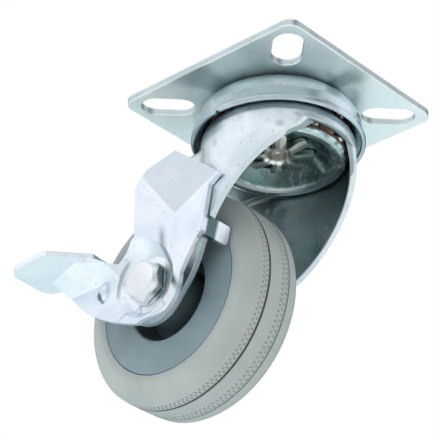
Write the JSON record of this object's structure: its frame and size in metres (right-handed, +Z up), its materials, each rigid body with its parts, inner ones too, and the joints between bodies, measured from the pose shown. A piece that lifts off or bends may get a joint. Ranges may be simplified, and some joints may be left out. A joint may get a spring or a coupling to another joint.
{
  "type": "swivel castor",
  "caption": "Light swivel castor with a plate mounting, a pressed zinc plated fork, a double ball race, a 75 mm grey rubber wheel and a side brake worked by a foot pedal.",
  "frame": {"origin": "on the swivel axis, at the top face of the mounting plate", "axes": "+Z up, square to the plate; the plate's sides lie along X and Y; at rest the wheel trails towards -X with its axle along Y and the brake on the -Y side"},
  "size_m": [0.1175, 0.0788, 0.1007],
  "materials": {
    "zinc": "bright zinc plated pressed steel",
    "zinc_bright": "bright zinc plated bolt and nut steel",
    "ball_steel": "polished ball steel under grease",
    "grey_rubber": "grey non marking rubber, satin",
    "grey_plastic": "grey polypropylene",
    "nylon": "blue nylon"
  },
  "bodies": {
    "mount": {"top_plate": "zinc", "race_ring": "zinc", "kingpin": "zinc", "lower_cup": "zinc", "upper_balls": "ball_steel", "lower_balls": "ball_steel"},
    "fork": {"fork": "zinc", "axle_sleeve": "zinc_bright", "axle_bolt": "zinc_bright", "nut_washer": "zinc_bright", "axle_nut": "zinc_bright", "nut_ring": "nylon", "pivot_collar": "zinc_bright", "spring_washer": "zinc_bright"},
    "wheel": {"tyre": "grey_rubber", "wheel_centre": "grey_plastic"},
    "brake": {"brake_lever": "zinc"}
  },
  "joints": [
    {"name": "swivel", "type": "hinge", "parent": "mount", "child": "fork", "pos_m": [0, 0, -0.0118], "axis": [0, 0, 1], "continuous": true},
    {"name": "wheel_spin", "type": "hinge", "parent": "fork", "child": "wheel", "pos_m": [-0.0366, 0, -0.0632], "axis": [0, 1, 0], "continuous": true},
    {"name": "brake_pedal", "type": "hinge", "parent": "fork", "child": "brake", "pos_m": [-0.0366, 0, -0.0632], "axis": [0, -1, 0], "range_deg": [0, 25]}
  ]
}
